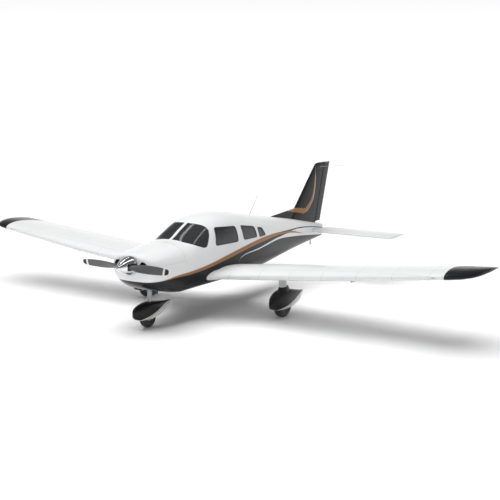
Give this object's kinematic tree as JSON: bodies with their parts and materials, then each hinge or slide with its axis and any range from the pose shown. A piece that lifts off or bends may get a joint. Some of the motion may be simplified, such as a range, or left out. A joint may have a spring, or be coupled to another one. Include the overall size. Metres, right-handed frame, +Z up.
{
  "type": "light aircraft",
  "caption": "Low-wing single-engine light aircraft with a four-seat cabin, fixed tricycle gear in wheel fairings, and an all-moving tailplane.",
  "frame": {"origin": "on the ground under the middle of the length, at the middle of the span", "axes": "+X to the left wing tip, -Y to the nose, +Z up"},
  "size_m": [10.82, 7.32, 2.452],
  "materials": {
    "white_paint": "gloss white paint over thin sheet",
    "charcoal_paint": "gloss charcoal paint over thin sheet",
    "grey_paint": "light grey paint over steel",
    "bare_steel": "bare steel",
    "polished_spinner": "mirror polished metal",
    "propeller_metal": "dark satin paint over forged alloy",
    "engine_iron": "rough cast metal",
    "tyre_rubber": "black rubber",
    "tinted_glass": "dark tinted glazing",
    "seat_leather": "grey-tan leather",
    "cabin_trim": "dark matt trim"
  },
  "bodies": {
    "airframe": {"aft_window_left": "tinted_glass", "aft_window_right": "tinted_glass", "baggage_bulkhead": "cabin_trim", "boarding_step": "grey_paint", "cabin_floor": "cabin_trim", "cabin_shell": "white_paint", "cowling_lower": "white_paint", "cowling_upper": "white_paint", "engine_block": "engine_iron", "exhaust_pipe": "bare_steel", "fin": "charcoal_paint", "firewall": "bare_steel", "front_seat_left": "seat_leather", "front_seat_right": "seat_leather", "front_window_left": "tinted_glass", "instrument_panel": "cabin_trim", "main_fairing_left": "charcoal_paint", "main_fairing_right": "charcoal_paint", "main_leg_left": "grey_paint", "main_leg_right": "grey_paint", "nose_strut": "grey_paint", "rear_seat": "seat_leather", "rear_window_left": "tinted_glass", "rear_window_right": "tinted_glass", "tail_cone": "charcoal_paint", "tail_tie_down": "bare_steel", "whip_aerial": "bare_steel", "windscreen_left": "tinted_glass", "windscreen_right": "tinted_glass", "wing_left": "white_paint", "wing_right": "white_paint", "wing_tip_left": "charcoal_paint", "wing_tip_right": "charcoal_paint"},
    "propeller": {"propeller": "propeller_metal", "spinner": "polished_spinner"},
    "nose_leg_steered": {"nose_fork": "grey_paint", "nose_fairing": "charcoal_paint"},
    "nose_wheel": {"nose_tyre": "tyre_rubber", "nose_rim": "bare_steel"},
    "main_wheel_left": {"main_tyre_left": "tyre_rubber", "main_rim_left": "bare_steel"},
    "main_wheel_right": {"main_tyre_right": "tyre_rubber", "main_rim_right": "bare_steel"},
    "flap_left": {"flap_left": "white_paint"},
    "flap_right": {"flap_right": "white_paint"},
    "aileron_left": {"aileron_left": "white_paint"},
    "aileron_right": {"aileron_right": "white_paint"},
    "rudder": {"rudder": "charcoal_paint"},
    "stabilator": {"stabilator": "white_paint"},
    "stabilator_tabs": {"stabilator_tab_left": "white_paint", "stabilator_tab_right": "white_paint"},
    "cabin_door": {"cabin_door": "white_paint", "front_window_right": "tinted_glass"},
    "baggage_door": {"baggage_door": "white_paint"}
  },
  "joints": [
    {"name": "propeller_spin", "type": "hinge", "parent": "airframe", "child": "propeller", "pos_m": [0, -3.455, 1.165], "axis": [0, 1, 0], "continuous": true},
    {"name": "nose_steer", "type": "hinge", "parent": "airframe", "child": "nose_leg_steered", "pos_m": [0, -2.82248, 0.4547], "axis": [0, 0.1348, 0.9909], "range_deg": [-20, 20]},
    {"name": "nose_wheel_spin", "type": "hinge", "parent": "nose_leg_steered", "child": "nose_wheel", "pos_m": [0, -2.87, 0.178], "axis": [1, 0, 0], "continuous": true},
    {"name": "main_wheel_left_spin", "type": "hinge", "parent": "airframe", "child": "main_wheel_left", "pos_m": [1.57, -0.924, 0.2225], "axis": [1, 0, 0], "continuous": true},
    {"name": "main_wheel_right_spin", "type": "hinge", "parent": "airframe", "child": "main_wheel_right", "pos_m": [-1.57, -0.924, 0.2225], "axis": [1, 0, 0], "continuous": true},
    {"name": "flap_left_hinge", "type": "hinge", "parent": "airframe", "child": "flap_left", "pos_m": [0.606, -0.44016, 0.74596], "axis": [-0.9954, 0.0011, -0.096], "range_deg": [0, 40]},
    {"name": "flap_right_hinge", "type": "hinge", "parent": "airframe", "child": "flap_right", "pos_m": [-0.606, -0.44016, 0.74596], "axis": [-0.9954, -0.0011, 0.096], "range_deg": [0, 40]},
    {"name": "aileron_left_hinge", "type": "hinge", "parent": "airframe", "child": "aileron_left", "pos_m": [2.75, -0.44336, 0.95305], "axis": [0.9916, -0.0638, 0.1127], "range_deg": [-12.5, 25]},
    {"name": "aileron_right_hinge", "type": "hinge", "parent": "airframe", "child": "aileron_right", "pos_m": [-2.75, -0.44336, 0.95305], "axis": [0.9916, 0.0638, -0.1127], "range_deg": [-12.5, 25]},
    {"name": "rudder_hinge", "type": "hinge", "parent": "airframe", "child": "rudder", "pos_m": [0, 2.99709, 1.165], "axis": [0, 0.2921, 0.9564], "range_deg": [-27, 27]},
    {"name": "stabilator_hinge", "type": "hinge", "parent": "airframe", "child": "stabilator", "pos_m": [0, 2.9, 0.985], "axis": [1, 0, 0], "range_deg": [-2, 14]},
    {"name": "stabilator_tab_hinge", "type": "hinge", "parent": "stabilator", "child": "stabilator_tabs", "pos_m": [0, 3.325, 0.985], "axis": [1, 0, 0], "range_deg": [-3, 12]},
    {"name": "cabin_door_hinge", "type": "hinge", "parent": "airframe", "child": "cabin_door", "pos_m": [-0.62129, -1.627, 0.91], "axis": [0.0995, 0, 0.995], "range_deg": [0, 80]},
    {"name": "baggage_door_hinge", "type": "hinge", "parent": "airframe", "child": "baggage_door", "pos_m": [-0.55698, -0.343, 0.93], "axis": [0, 0, 1], "range_deg": [0, 90]}
  ],
  "couplings": [
    {"joint": "flap_right_hinge", "follows": "flap_left_hinge", "ratio": 1},
    {"joint": "rudder_hinge", "follows": "nose_steer", "ratio": -1.35},
    {"joint": "stabilator_tab_hinge", "follows": "stabilator_hinge", "ratio": 0.8}
  ]
}
